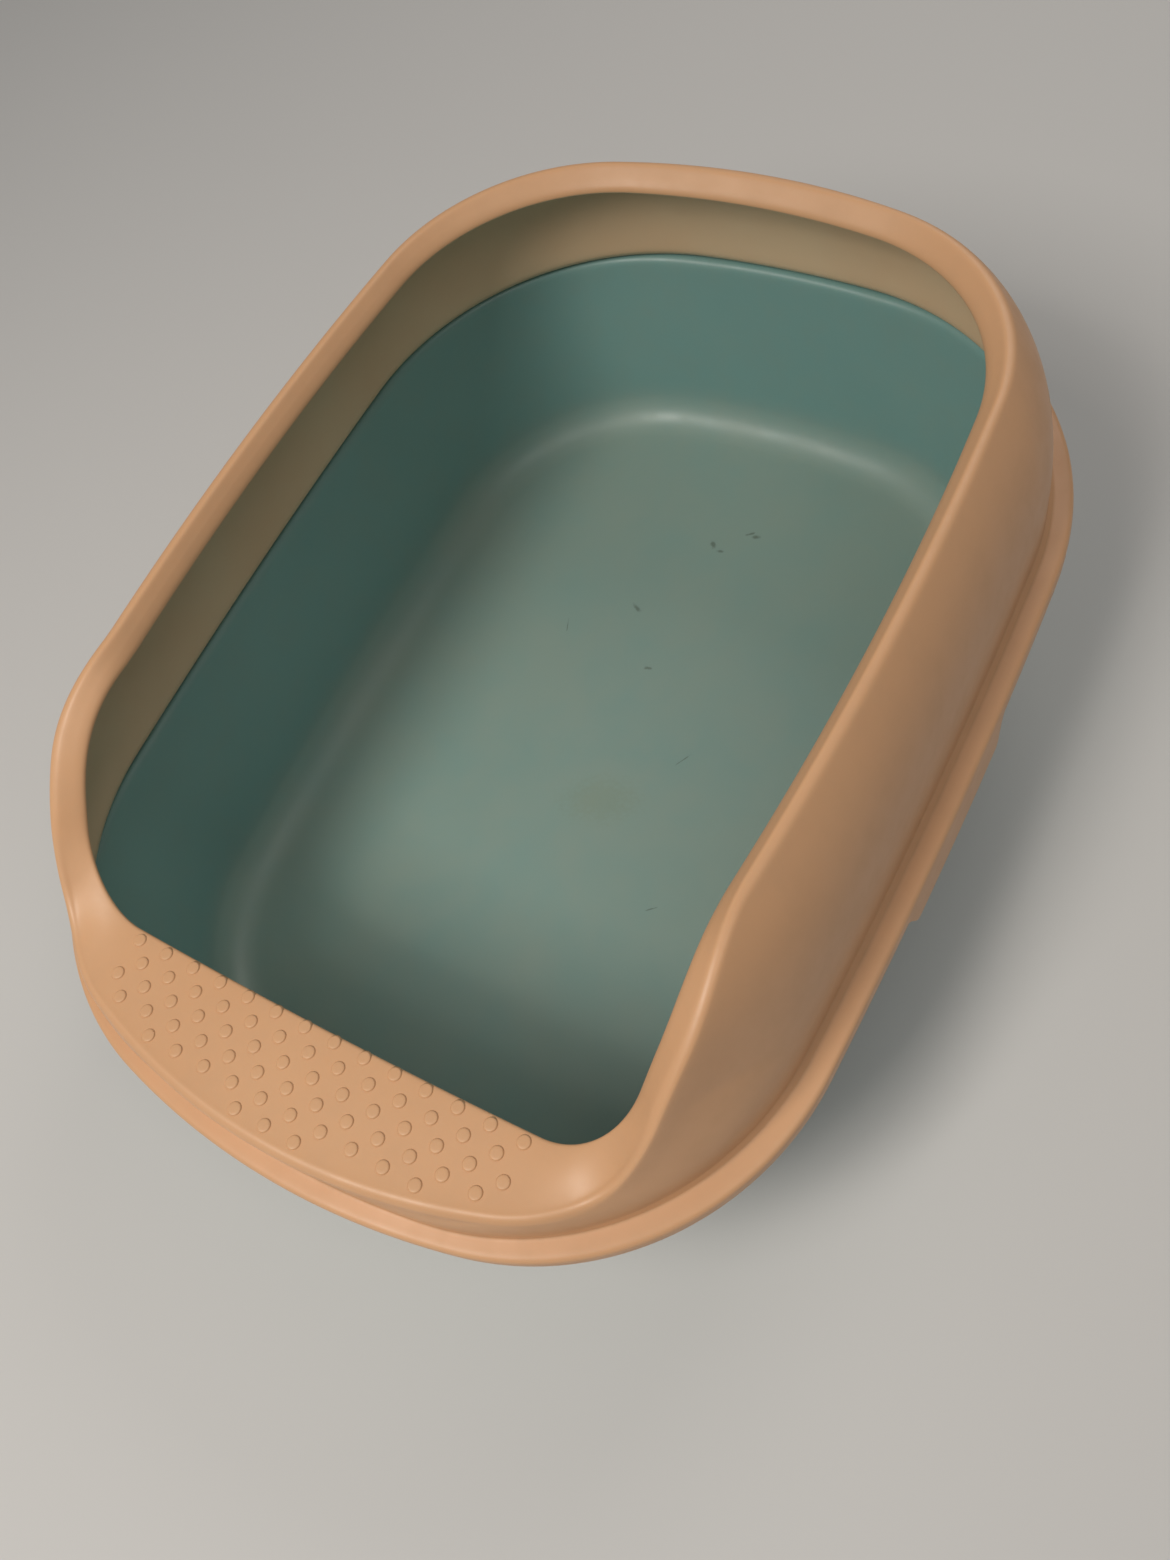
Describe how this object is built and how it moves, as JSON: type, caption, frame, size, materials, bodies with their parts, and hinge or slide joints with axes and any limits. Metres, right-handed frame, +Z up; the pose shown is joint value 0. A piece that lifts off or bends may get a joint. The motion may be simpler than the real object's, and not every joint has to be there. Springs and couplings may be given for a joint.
{
  "type": "litter pan with removable rim",
  "caption": "Open litter pan with a high, removable splash rim, a low entry step with raised dots, and side grips.",
  "frame": {"origin": "centre of the whole object's box, on the floor it stands on", "axes": "+Z up, the low entry step faces -Y, and the two sides mirror each other across X = 0"},
  "size_m": [0.383, 0.525, 0.1992],
  "materials": {
    "shield_plastic": "satin moulded polypropylene, warm peach",
    "pan_plastic": "satin moulded polypropylene, muted teal"
  },
  "bodies": {
    "pan": {"pan": "pan_plastic"},
    "shield": {"shield": "shield_plastic"}
  },
  "joints": [
    {"name": "shield_lift", "type": "slide", "parent": "pan", "child": "shield", "axis": [0, 0, 1], "range_m": [0, 0.12]}
  ]
}
